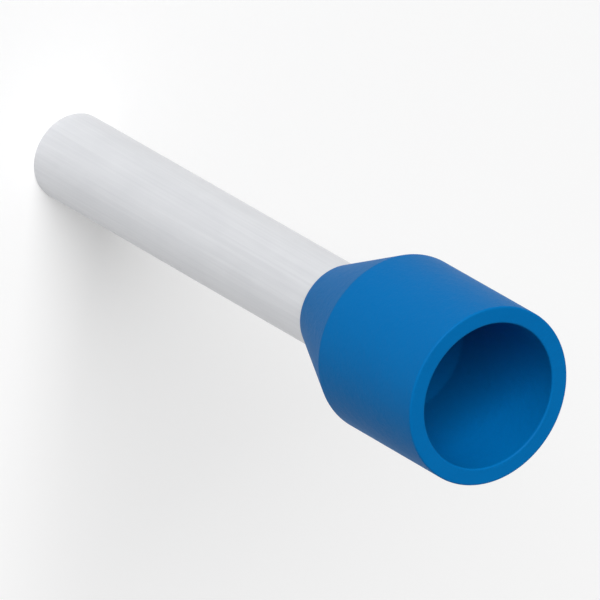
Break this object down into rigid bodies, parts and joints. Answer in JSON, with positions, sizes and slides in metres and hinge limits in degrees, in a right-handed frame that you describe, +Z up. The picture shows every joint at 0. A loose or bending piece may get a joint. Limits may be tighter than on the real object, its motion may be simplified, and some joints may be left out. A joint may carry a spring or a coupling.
{
  "type": "wire ferrule",
  "caption": "Insulated wire ferrule: thin tinned metal sleeve with a bell mouth, seated in a blue moulded collar that takes the wire's insulation.",
  "frame": {"origin": "centre of the sleeve's cut end, on which the ferrule stands", "axes": "+Z up the axis, from the sleeve's cut end to the collar's open mouth"},
  "size_m": [0.005, 0.005, 0.0204],
  "materials": {
    "tinned_metal": "bright tin plate on drawn copper, satin",
    "blue_plastic": "moulded, fine satin"
  },
  "bodies": {
    "root": {"sleeve": "tinned_metal", "collar": "blue_plastic"}
  },
  "joints": []
}
